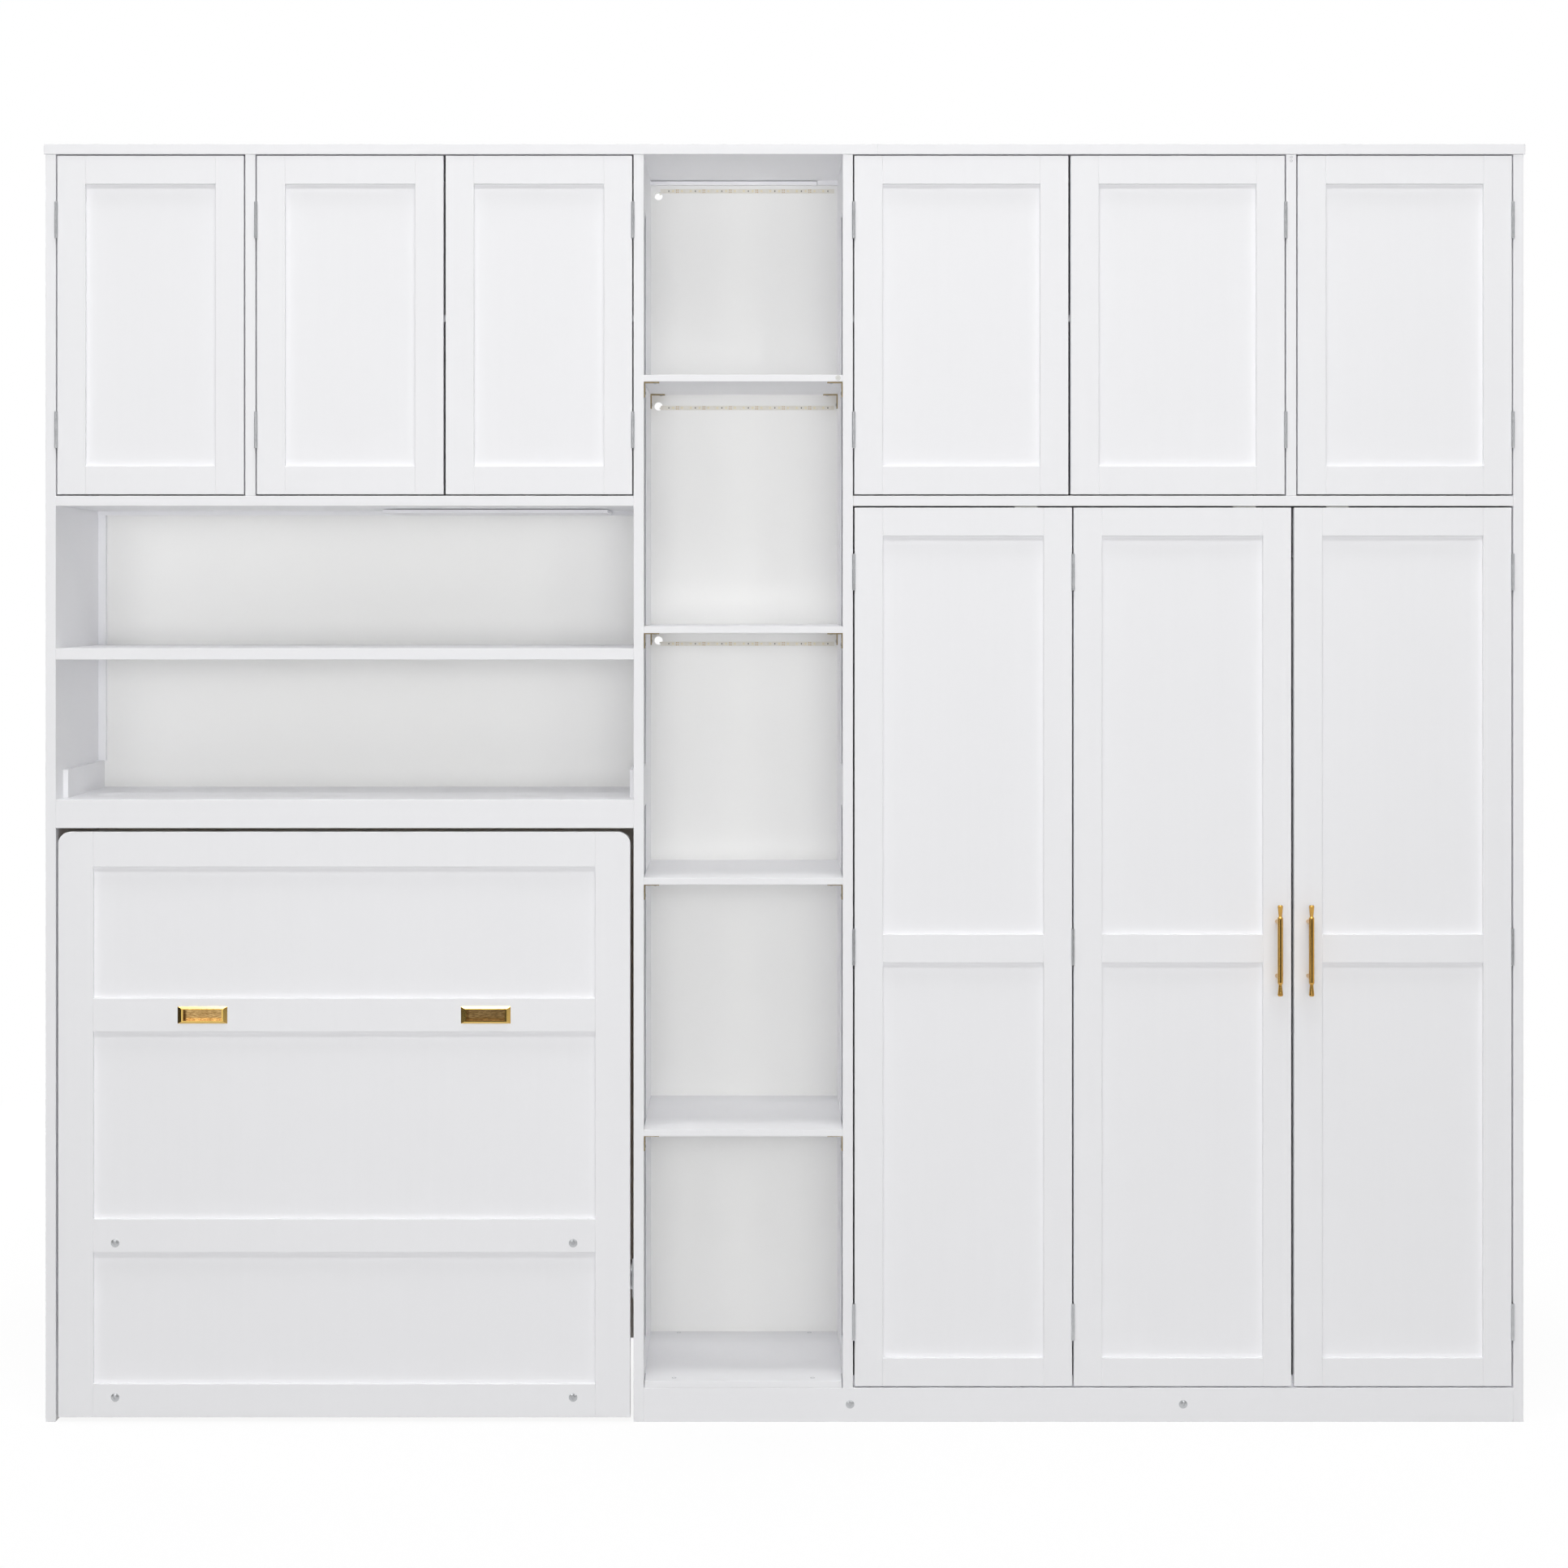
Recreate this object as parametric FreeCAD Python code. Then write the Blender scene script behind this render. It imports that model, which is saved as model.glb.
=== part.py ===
import FreeCAD, Part
import math
import os

Vector = FreeCAD.Vector
os.makedirs("parts", exist_ok=True)

# Carcass sizes in millimetres: three bays side by side between upright panels
bay_width = 1022.0
column_width = 352.0
wardrobe_width = 1168.0
unit_height = 2260.0
carcass_depth = 400.0
panel_thickness = 18.0
top_thickness = 18.0
top_side_overhang = 3.0
top_front_overhang = 2.0
top_seam_offset = 43.0
plinth_height = 60.0
plinth_thickness = 18.0
edge_round = 0.8
overrun = 5.0

# Backs and the rails behind them that are screwed to the wall
back_thickness = 6.0
wall_rail_thickness = 18.0
wall_rail_height = 60.0
wall_screw_spacing = 800.0
wall_screw_hole = 3.5

# Cupboards along the top
cupboard_height = 604.0
cupboard_floor_thickness = 18.0
divider_thickness = 18.0
cupboard_shelf_share = 0.512
cupboard_shelf_thickness = 12.0
shelf_setback = 2.0

# Open bay over the bed
bay_shelf_share = 0.477
bay_shelf_thickness = 20.0
fascia_z = 1050.0
fascia_height = 50.0
fascia_thickness = 18.0
bay_floor_thickness = 18.0
cleat_height = 50.0
cleat_thickness = 9.0
cleat_setback = 60.0
cleat_slot_length = 14.0
cleat_slot_height = 4.0
cleat_slot_depth = 3.0
cleat_slot_inset = 40.0
corner_batten = 14.0
ceiling_batten_height = 8.0
ceiling_batten_depth = 18.0
ceiling_slit = 1.5
column_batten_end = 38.0
cover_plate_width = 411.0
cover_plate_depth = 171.0
cover_plate_thickness = 6.0
cover_plate_inset = 55.0

# Open shelf column
column_shelf_thickness = 12.0
column_top_space = 390.0
column_shelf_count = 4
column_floor_thickness = 12.0
bracket_arm = 27.0
bracket_width = 15.0
bracket_thickness = 2.0
bracket_inset = 6.0
strip_width = 8.0
strip_thickness = 2.0
strip_end_gap = 6.0
strip_drops = (18.0, 25.0, 25.0)
cable_hole_drops = (27.0, 22.0, 19.0)
cable_hole = 7.75
floor_slit = 2.0
floor_slit_length = 57.0
seam_back = 130.0
seam_gap = 1.9
seam_depth = 12.0
seam_top_drop = 96.0
side_sink = 3.0
side_sink_start = 24.0
side_bottom_rail = 49.0
side_middle_rail = 72.0
side_middle_share = 0.467
cable_hole_inset = 14.4
strip_tail = 5.0
strip_tail_offset = 2.0
strip_tail_width = 3.0
strip_tail_rise = 2.5
strip_tail_height = 3.0
strip_lap = 1.0

# Wardrobe
wardrobe_floor_thickness = 18.0
bearer_width = 40.0
bearer_inset = 584.0
plinth_bolt_offset = 5.0
rear_plinth_inset = 36.0
rail_radius = 12.5
rail_drop = 80.0
socket_radius = 20.0
socket_length = 12.0
rail_play = 0.1
catch_width = 40.0
catch_depth = 14.0
catch_height = 12.0
catch_inset = 60.0
catch_play = 0.4

# Framed doors
door_thickness = 18.0
door_stile = 50.0
door_rail = 50.0
cupboard_gap = 2.5
cupboard_meeting_gap = 4.0
wardrobe_gap = 3.0
wardrobe_meeting_gap = 5.0
middle_rail_share = 0.482
panel_recess = 8.0
door_panel_thickness = 6.0
groove_depth = 8.0
groove_play = 0.2

# Butt hinges
hinge_length = 65.0
barrel_radius = 2.85
barrel_clear = 0.3
leaf_thickness = 0.9
leaf_depth = 16.0
knuckle_count = 5
knuckle_play = 0.2
hinge_pin_radius = 1.2
hinge_pin_play = 0.05
hinge_inset = 114.0

# Bar handles
handle_length = 160.0
handle_bar_length = 112.0
handle_post_spacing = 96.0
handle_standoff = 34.0
handle_bar_radius = 4.8
handle_neck_radius = 2.6
handle_end_radius = 4.8
handle_cap = 2.0
handle_cap_radius = 3.6
handle_post_top_radius = 4.6
handle_post_foot_radius = 3.8

# Bed front
bed_gap_left = 4.0
bed_gap_right = 6.0
bed_bottom = 8.0
bed_top_gap = 6.5
bed_front_thickness = 22.0
bed_stile = 62.0
bed_rail = 59.0
bed_top_rail = 62.0
bed_lower_rail_z = 299.5
bed_pull_rail_z = 690.0
bed_corner_radius = 22.0
pull_spacing = 501.0
pull_length = 88.0
pull_height = 30.0
pull_flange = 3.5
pull_bevel_x = 7.0
pull_bevel_z = 3.5
pull_pocket_length = 68.0
pull_pocket_height = 20.0
pull_wall = 2.0
pull_depth = 12.0
pull_play = 0.2
bolt_inset = 101.0
bolt_low_z = 43.0
bolt_high_z = 316.0
bolt_head_radius = 7.5
bolt_head_height = 1.8
bolt_shank_radius = 3.0
bolt_shank_length = 34.0
bolt_play = 0.1
bolt_socket_radius = 2.9
bolt_socket_depth = 1.2
plinth_bolt_z = 31.0

# Folding bed base
pivot_back = 52.0
pivot_z = 250.0
side_rail_inset = 30.0
side_rail_width = 25.0
side_rail_depth = 62.0
side_rail_low = 30.0
side_rail_top_gap = 11.0
bearer_thickness = 18.0
bearer_low_z = 12.0
bearer_height = 55.0
top_bearer_z = 865.0
top_bearer_height = 60.0
slat_count = 11
slat_gap = 14.0
slat_thickness = 14.0
slat_low = 20.0
pivot_plate = 70.0
pivot_plate_thickness = 3.0
spring_housing_radius = 26.0
bush_radius = 10.0
pivot_pin_radius = 8.0
pivot_pin_play = 0.05
pivot_pin_short = 1.0
running_gap = 0.5

# Pull-out half and its folding legs
end_rail_z = 930.0
end_rail_height = 25.0
runner_width = 22.0
runner_depth = 22.0
slide_lift = 0.3
leg_width = 25.0
leg_thickness = 16.0
leg_gap = 2.0
leg_pivot_inset = 20.0
leg_heel = 14.0
leg_floor_clear = 1.0
leg_pin_radius = 4.0
leg_pin_play = 0.05

# Places worked out from the sizes: origin on the floor, at the middle of the footprint
handle_reach = handle_standoff + handle_bar_radius
face = (handle_reach - carcass_depth) / 2
wall = face + carcass_depth
rail_front = wall - wall_rail_thickness
back_front = rail_front - back_thickness
carcass_width = bay_width + column_width + wardrobe_width + 4 * panel_thickness
left = -carcass_width / 2
bay_left = left + panel_thickness
bay_right = bay_left + bay_width
column_left = bay_right + panel_thickness
column_right = column_left + column_width
wardrobe_left = column_right + panel_thickness
wardrobe_right = wardrobe_left + wardrobe_width
right = wardrobe_right + panel_thickness
ceiling = unit_height - top_thickness
cupboard_base = ceiling - cupboard_height
cupboard_floor_z = cupboard_base - cupboard_floor_thickness
cupboard_shelf_z = cupboard_base + cupboard_shelf_share * cupboard_height
bay_base = fascia_z + fascia_height
bay_shelf_z = bay_base + bay_shelf_share * (cupboard_floor_z - bay_base)
wardrobe_door_low = plinth_height + wardrobe_gap
wardrobe_door_high = cupboard_floor_z - wardrobe_gap
middle_rail_z = wardrobe_door_low + middle_rail_share * (wardrobe_door_high - wardrobe_door_low)
door_back = face + door_thickness
hinge_axis_y = face - barrel_clear - barrel_radius
pivot_y = face + pivot_back
bed_left = bay_left + bed_gap_left
bed_right = bay_right - bed_gap_right
bed_top = fascia_z - bed_top_gap
bed_back = face + bed_front_thickness
column_base = plinth_height + column_floor_thickness
column_shelf_pitch = (ceiling - column_top_space - column_base) / column_shelf_count
column_shelf_tops = [column_base + (i + 1) * column_shelf_pitch for i in range(column_shelf_count)]
column_shelf_bottoms = [top - column_shelf_thickness for top in column_shelf_tops]
nodes = {}


def block(x0, x1, y0, y1, z0, z1):
    return Part.makeBox(x1 - x0, y1 - y0, z1 - z0, Vector(x0, y0, z0))


def board(x0, x1, y0, y1, z0, z1):
    solid = block(x0, x1, y0, y1, z0, z1)
    return solid.makeFillet(edge_round, solid.Edges)


def rod_along_x(x0, x1, y, z, radius):
    return Part.makeCylinder(radius, x1 - x0, Vector(x0, y, z), Vector(1, 0, 0))


def rod_along_y(x, y0, y1, z, radius):
    return Part.makeCylinder(radius, y1 - y0, Vector(x, y0, z), Vector(0, 1, 0))


def rod_along_z(x, y, z0, z1, radius):
    return Part.makeCylinder(radius, z1 - z0, Vector(x, y, z0))


def one_solid(shape):
    return shape.removeSplitter().Solids[0]


def add(name, *solids):
    nodes.setdefault(name, []).extend(solids)


# Uprights and top
def carcass_uprights():
    add("left_side_panel", board(left, bay_left, face, wall, 0, ceiling))
    bay_side = board(bay_right, column_left, face, wall, 0, ceiling)
    wardrobe_side = board(column_right, wardrobe_left, face, wall, plinth_height, ceiling)
    add("bay_partition", one_solid(bay_side.cut(sunk_sides())))
    add("wardrobe_partition", one_solid(wardrobe_side.cut(sunk_sides())))
    add("right_side_panel", board(wardrobe_right, right, face, wall, 0, ceiling))
    seam = wardrobe_left + top_seam_offset
    front = face - top_front_overhang
    add("left_top_board", board(left - top_side_overhang, seam, front, wall, ceiling, unit_height))
    add("right_top_board", board(seam, right + top_side_overhang, front, wall, ceiling, unit_height))


# Sunk panels in both sides of the shelf column, with an open seam along their rear edges
def sunk_sides():
    low_x = column_left - side_sink
    high_x = column_right + side_sink
    rear = face + seam_back
    middle = column_base + side_middle_share * (ceiling - column_base)
    lower = (column_base + side_bottom_rail, middle)
    upper = (middle + side_middle_rail, ceiling - seam_top_drop)
    cutters = []
    for z0, z1 in (lower, upper):
        cutters.append(block(low_x, high_x, face + side_sink_start, rear, z0, z1))
        for x0 in (low_x, high_x - seam_gap):
            cutters.append(block(x0, x0 + seam_gap, rear - overrun, rear + seam_depth, z0, z1))
    return cutters


# Backs with their wall rails; the two wide bays have wall screw holes
def carcass_backs():
    bays = (
        ("bay_back", bay_left, bay_right, True),
        ("column_back", column_left, column_right, False),
        ("wardrobe_back", wardrobe_left, wardrobe_right, True),
    )
    for name, x0, x1, screwed in bays:
        back = block(x0, x1, back_front, rail_front, plinth_height, ceiling)
        top_rail = block(x0, x1, rail_front, wall, ceiling - wall_rail_height, ceiling)
        low_rail = block(x0, x1, rail_front, wall, plinth_height, plinth_height + wall_rail_height)
        if screwed:
            for side in (-1, 1):
                x = (x0 + x1) / 2 + side * wall_screw_spacing / 2
                z = ceiling - wall_rail_height / 2
                hole = rod_along_y(x, back_front - overrun, wall + overrun, z, wall_screw_hole)
                back = one_solid(back.cut(hole))
                top_rail = one_solid(top_rail.cut(hole))
        if name == "column_back":
            for x, z in cable_holes():
                hole = rod_along_y(x, back_front - overrun, wall + overrun, z, cable_hole)
                back = one_solid(back.cut(hole))
                top_rail = one_solid(top_rail.cut(hole))
        add(name, back)
        add("wall_rails", top_rail, low_rail)


def column_ceilings():
    shelves = column_shelf_bottoms[::-1]
    return (ceiling, shelves[0], shelves[1])


def cable_holes():
    x = column_left + cable_hole_inset
    return [(x, top - drop) for top, drop in zip(column_ceilings(), cable_hole_drops)]


def cupboards():
    spans = ((bay_left, bay_right), (wardrobe_left, wardrobe_right))
    for x0, x1 in spans:
        add("cupboard_floors", board(x0, x1, face, back_front, cupboard_floor_z, cupboard_base))
    shelf_front = door_back + shelf_setback
    shelf_top = cupboard_shelf_z + cupboard_shelf_thickness
    for (x0, x1), divider in zip(spans, (left_divider, right_divider)):
        middle = divider + divider_thickness
        add("cupboard_dividers", board(divider, middle, face, back_front, cupboard_base, ceiling))
        for low, high in ((x0, divider), (middle, x1)):
            add("cupboard_shelves", block(low, high, shelf_front, back_front, cupboard_shelf_z, shelf_top))


def open_bay():
    top = bay_shelf_z + bay_shelf_thickness
    add("bay_shelf", board(bay_left, bay_right, face, back_front, bay_shelf_z, top))
    add("bay_fascia", board(bay_left, bay_right, face, face + fascia_thickness, fascia_z, bay_base))
    add("bay_floor", block(bay_left, bay_right, face + fascia_thickness, back_front,
                           bay_base - bay_floor_thickness, bay_base))
    cleat_top = bay_base + cleat_height
    batten_front = back_front - corner_batten
    batten_top = cupboard_floor_z - ceiling_batten_height
    for x0, x1, inner0, inner1 in (
        (bay_left, bay_left + cleat_thickness, bay_left, bay_left + corner_batten),
        (bay_right - cleat_thickness, bay_right, bay_right - corner_batten, bay_right),
    ):
        add("bay_battens", slotted_cleat(x0, x1, cleat_top))
        add("bay_battens", block(inner0, inner1, batten_front, back_front, cleat_top, bay_shelf_z))
        add("bay_battens", block(inner0, inner1, batten_front, back_front, top, batten_top))
    plate_right = bay_right - cover_plate_inset
    plate_back = back_front - ceiling_batten_depth
    plate_top = cupboard_floor_z - ceiling_slit
    add("bay_battens", block(plate_right - cover_plate_width, plate_right, plate_back - cover_plate_depth,
                             plate_back, plate_top - cover_plate_thickness, plate_top))
    add("bay_battens", block(bay_left, bay_right, plate_back, back_front, batten_top, cupboard_floor_z))
    batten_end = column_right - column_batten_end
    low = ceiling - ceiling_batten_height
    add("bay_battens", block(column_left, batten_end - ceiling_slit, plate_back, back_front,
                             low, ceiling - ceiling_slit))
    add("bay_battens", block(batten_end, column_right, plate_back, back_front, low, ceiling))


# A cleat with two short slots in its top edge
def slotted_cleat(x0, x1, top):
    front = face + cleat_setback
    cleat = block(x0, x1, front, back_front, bay_base, top)
    for y in (front + cleat_slot_inset, back_front - cleat_slot_inset - cleat_slot_length):
        middle = (x0 + x1) / 2
        half = cleat_slot_height / 2
        slot = block(middle - half, middle + half, y, y + cleat_slot_length,
                     top - cleat_slot_depth, top + overrun)
        cleat = one_solid(cleat.cut(slot))
    return cleat


def shelf_bracket(wall_x, side, y, z):
    arm = wall_x + side * bracket_arm
    x0, x1 = sorted((wall_x, arm))
    flat = block(x0, x1, y, y + bracket_width, z - bracket_thickness, z)
    x0, x1 = sorted((wall_x, wall_x + side * bracket_thickness))
    upright = block(x0, x1, y, y + bracket_width, z - bracket_arm, z)
    return one_solid(flat.fuse(upright))


def shelf_column():
    for z, top in zip(column_shelf_bottoms, column_shelf_tops):
        add("column_shelves", board(column_left, column_right, face, back_front, z, top))
        for y in (face + bracket_inset, back_front - bracket_inset - bracket_width):
            add("shelf_brackets", shelf_bracket(column_left, 1, y, z))
            add("shelf_brackets", shelf_bracket(column_right, -1, y, z))
    floor = board(column_left, column_right, face, back_front, plinth_height, column_base)
    for x in (column_left, column_right):
        slit = block(x - floor_slit, x + floor_slit, face - overrun, face + floor_slit_length,
                     plinth_height - overrun, column_base + overrun)
        floor = one_solid(floor.cut(slit))
    add("column_floor", floor)
    for (x, hole_z), top, drop in zip(cable_holes(), column_ceilings(), strip_drops):
        add("led_strips", led_strip(x, hole_z, top - drop))


# A strip stuck on the back, its end turned into the near edge of the cable hole
def led_strip(hole_x, hole_z, z):
    front = back_front - strip_thickness
    half = strip_width / 2
    x0 = hole_x + strip_tail_offset
    x1 = x0 + strip_tail_width
    strip = block(x1 - strip_lap, column_right - strip_end_gap, front, back_front, z - half, z + half)
    side = 1 if z > hole_z else -1
    rise = side * strip_tail_rise
    low, high = sorted((hole_z + rise, hole_z + rise + side * strip_tail_height))
    tail = block(x0, x1, front, back_front + strip_tail, low, high)
    return one_solid(strip.fuse(tail))


def plinth_and_floor():
    front = face + plinth_thickness
    rear = back_front - rear_plinth_inset
    bolts_x = (wardrobe_left - plinth_bolt_offset, wardrobe_left + bearer_inset)
    plinth = board(column_left, wardrobe_right, face, front, 0, plinth_height)
    for x in bolts_x:
        bearer = block(x - bearer_width / 2, x + bearer_width / 2, front, rear, 0, plinth_height)
        hole = bolt_hole(x, plinth_bolt_z)
        plinth = one_solid(plinth.cut(hole))
        add("plinth_bearers", one_solid(bearer.cut(hole)))
        add("plinth_bolts", bolt(x, plinth_bolt_z))
    rear_plinth = block(column_left, wardrobe_right, rear, rear + plinth_thickness, 0, plinth_height)
    add("plinth", plinth, rear_plinth)
    add("wardrobe_floor", block(wardrobe_left, wardrobe_right, door_back + catch_play, back_front,
                                plinth_height, plinth_height + wardrobe_floor_thickness))


def hanging_rail():
    y = (door_back + back_front) / 2
    z = cupboard_floor_z - rail_drop
    add("hanging_rail", rod_along_x(wardrobe_left + rail_play, wardrobe_right - rail_play, y, z, rail_radius))
    for x in (wardrobe_left, wardrobe_right - socket_length):
        cup = rod_along_x(x, x + socket_length, y, z, socket_radius)
        bore = rod_along_x(x - overrun, x + socket_length + overrun, y, z, rail_radius + rail_play)
        add("hanging_rail", one_solid(cup.cut(bore)))


def magnetic_catches():
    y0 = door_back + catch_play
    for x0, x1, side, z in catch_places:
        edge = x1 - catch_inset - catch_width if side > 0 else x0 + catch_inset
        add("magnetic_catches", block(edge, edge + catch_width, y0, y0 + catch_depth, z - catch_height, z))


# Bolts with a low domed head and a hexagon socket
def bolt(x, z):
    dome_radius = (bolt_head_radius ** 2 + bolt_head_height ** 2) / (2 * bolt_head_height)
    dome = Part.makeSphere(dome_radius, Vector(x, face - bolt_head_height + dome_radius, z))
    head = dome.common(rod_along_y(x, face - dome_radius, face, z, dome_radius))
    corners = []
    for i in range(7):
        angle = math.radians(60 * i)
        corners.append(Vector(x + bolt_socket_radius * math.cos(angle), face - bolt_head_height,
                              z + bolt_socket_radius * math.sin(angle)))
    socket = Part.Face(Part.makePolygon(corners)).extrude(Vector(0, bolt_socket_depth, 0))
    shank = rod_along_y(x, face, face + bolt_shank_length, z, bolt_shank_radius)
    return one_solid(head.cut(socket).fuse(shank))


def bolt_hole(x, z):
    hole_end = face + bolt_shank_length + bolt_play
    return rod_along_y(x, face - overrun, hole_end, z, bolt_shank_radius + bolt_play)


# A frame of two stiles and its rails, grooved round loose panels
def framed_leaf(x0, x1, z0, z1, thickness, stile, rails):
    back = face + thickness
    inner0 = x0 + stile
    inner1 = x1 - stile
    frame = [board(x0, inner0, face, back, z0, z1), board(inner1, x1, face, back, z0, z1)]
    frame += [board(inner0, inner1, face, back, low, high) for low, high in rails]
    panels = []
    front = face + panel_recess
    rear = front + door_panel_thickness
    tongue = groove_depth - groove_play
    for (_, low), (high, _) in zip(rails, rails[1:]):
        groove = block(inner0 - groove_depth, inner1 + groove_depth, front - groove_play, rear + groove_play,
                       low - groove_depth, high + groove_depth)
        frame = [one_solid(piece.cut(groove)) for piece in frame]
        panels.append(block(inner0 - tongue, inner1 + tongue, front, rear, low - tongue, high + tongue))
    return frame, panels


def hinge_leaf(axis_x, side, gap, z0, own_knuckles):
    board_face = axis_x + side * gap / 2
    x0, x1 = sorted((board_face, board_face - side * leaf_thickness))
    plate_front = hinge_axis_y + barrel_radius + knuckle_play
    leaf = block(x0, x1, plate_front, face + leaf_depth, z0, z0 + hinge_length)
    pitch = hinge_length / knuckle_count
    for i in own_knuckles:
        low = z0 + i * pitch + knuckle_play / 2
        high = z0 + (i + 1) * pitch - knuckle_play / 2
        web = block(x0, x1, hinge_axis_y, plate_front, low, high)
        leaf = leaf.fuse([web, rod_along_z(axis_x, hinge_axis_y, low, high, barrel_radius)])
    bore = rod_along_z(axis_x, hinge_axis_y, z0 - overrun, z0 + hinge_length + overrun,
                       hinge_pin_radius + hinge_pin_play)
    return one_solid(leaf.cut(bore))


# Door side +1 is hinged at its right edge, -1 at its left edge
def hang_door(name, carrier, x0, x1, side, gap, hinge_bottoms):
    axis_x = (x1 + gap / 2) if side > 0 else (x0 - gap / 2)
    for z0 in hinge_bottoms:
        add(carrier, hinge_leaf(axis_x, side, gap, z0, range(0, knuckle_count, 2)))
        add(name + "_hinges", hinge_leaf(axis_x, -side, gap, z0, range(1, knuckle_count, 2)))
        add(name + "_hinges", rod_along_z(axis_x, hinge_axis_y, z0, z0 + hinge_length, hinge_pin_radius))


def cupboard_doors():
    z0 = cupboard_base + cupboard_gap
    z1 = ceiling - cupboard_gap
    rails = ((z0, z0 + door_rail), (z1 - door_rail, z1))
    hinges = [centre - hinge_length / 2 for centre in (z0 + hinge_inset, z1 - hinge_inset)]
    for i, (x0, x1, side) in enumerate(cupboard_leaves):
        name = f"cupboard_door_{i + 1}"
        frame, panels = framed_leaf(x0, x1, z0, z1, door_thickness, door_stile, rails)
        add(name, *frame, *panels)
        hang_door(name, "carcass_hinge_leaves", x0, x1, side, cupboard_gap, hinges)


def wardrobe_doors():
    z0 = wardrobe_door_low
    z1 = wardrobe_door_high
    rails = ((z0, z0 + door_rail), (middle_rail_z, middle_rail_z + door_rail), (z1 - door_rail, z1))
    centres = (z0 + hinge_inset, (z0 + z1) / 2, z1 - hinge_inset)
    hinges = [centre - hinge_length / 2 for centre in centres]
    carriers = ("carcass_hinge_leaves", "wardrobe_door_1_hinges", "carcass_hinge_leaves")
    for i, (x0, x1, side) in enumerate(wardrobe_leaves):
        name = f"wardrobe_door_{i + 1}"
        frame, panels = framed_leaf(x0, x1, z0, z1, door_thickness, door_stile, rails)
        add(name, *frame, *panels)
        hang_door(name, carriers[i], x0, x1, side, wardrobe_gap, hinges)
    handle_z = middle_rail_z + door_rail / 2
    add("wardrobe_handle_2", bar_handle(wardrobe_leaves[1][1] - door_stile / 2, handle_z))
    add("wardrobe_handle_3", bar_handle(wardrobe_leaves[2][0] + door_stile / 2, handle_z))


# A turned bar with domed shoulders, waisted necks and flared ends, on two tapered posts
def bar_handle(x, z):
    y = face - handle_standoff
    half_bar = handle_bar_length / 2
    flare = handle_length / 2 - half_bar - handle_cap
    pieces = []
    for side in (-1, 1):
        outward = Vector(0, 0, side)
        shoulder = Vector(x, y, z + side * half_bar)
        flare_end = Vector(x, y, z + side * (half_bar + flare))
        post = Vector(x, y, z + side * handle_post_spacing / 2)
        pieces.append(Part.makeSphere(handle_bar_radius, shoulder))
        pieces.append(Part.makeCone(handle_neck_radius, handle_end_radius, flare, shoulder, outward))
        pieces.append(Part.makeCone(handle_end_radius, handle_cap_radius, handle_cap, flare_end, outward))
        pieces.append(Part.makeCone(handle_post_top_radius, handle_post_foot_radius, handle_standoff, post,
                                    Vector(0, 1, 0)))
    bar = rod_along_z(x, y, z - half_bar, z + half_bar, handle_bar_radius)
    return one_solid(bar.fuse(pieces))


# Bed front: framed like the doors, with round top corners
def bed_front():
    rails = (
        (bed_bottom, bed_bottom + bed_rail),
        (bed_lower_rail_z, bed_lower_rail_z + bed_rail),
        (bed_pull_rail_z, bed_pull_rail_z + bed_rail),
        (bed_top - bed_top_rail, bed_top),
    )
    frame, panels = framed_leaf(bed_left, bed_right, bed_bottom, bed_top,
                                bed_front_thickness, bed_stile, rails)
    frame = [one_solid(piece.common(rounded_outline())) for piece in frame]
    for x in pull_centres():
        frame = [one_solid(piece.cut(pull_mortise(x))) for piece in frame]
        add("flush_pulls", flush_pull(x))
    for x in bolt_columns():
        for z in (bolt_low_z, bolt_high_z):
            frame = [one_solid(piece.cut(bolt_hole(x, z))) for piece in frame]
            add("bed_bolts", bolt(x, z))
    add("bed_front_frame", *frame)
    add("bed_front_panels", *panels)


def rounded_outline():
    outline = block(bed_left, bed_right, face, bed_back, bed_bottom, bed_top)
    corners = [edge for edge in outline.Edges
               if edge.BoundBox.ZMin > bed_top - overrun and edge.BoundBox.XLength < overrun]
    return outline.makeFillet(bed_corner_radius, corners)


def pull_centres():
    middle = (bed_left + bed_right) / 2
    return (middle - pull_spacing / 2, middle + pull_spacing / 2)


def bolt_columns():
    return (bed_left + bolt_inset, bed_right - bolt_inset)


def pull_mortise(x):
    z = bed_pull_rail_z + bed_rail / 2
    half_x = pull_pocket_length / 2 + pull_wall + pull_play
    half_z = pull_pocket_height / 2 + pull_wall + pull_play
    depth = pull_depth + pull_wall + pull_play
    return block(x - half_x, x + half_x, face - overrun, face + depth, z - half_z, z + half_z)


# A shallow pocket with a wide bevelled flange on the face of the rail
def flush_pull(x):
    z = bed_pull_rail_z + bed_rail / 2
    front = face - pull_flange
    half_x = pull_length / 2
    half_z = pull_height / 2
    inner_x = half_x - pull_bevel_x
    inner_z = half_z - pull_bevel_z
    flange = Part.makeWedge(x - inner_x, front, z - inner_z, z - half_z, x - half_x,
                            x + inner_x, face, z + inner_z, z + half_z, x + half_x)
    half_x = pull_pocket_length / 2
    half_z = pull_pocket_height / 2
    pocket = block(x - half_x, x + half_x, front - overrun, face + pull_depth, z - half_z, z + half_z)
    half_x += pull_wall
    half_z += pull_wall
    cup = block(x - half_x, x + half_x, face, face + pull_depth + pull_wall, z - half_z, z + half_z)
    return one_solid(flange.fuse(cup).cut(pocket))


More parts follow.
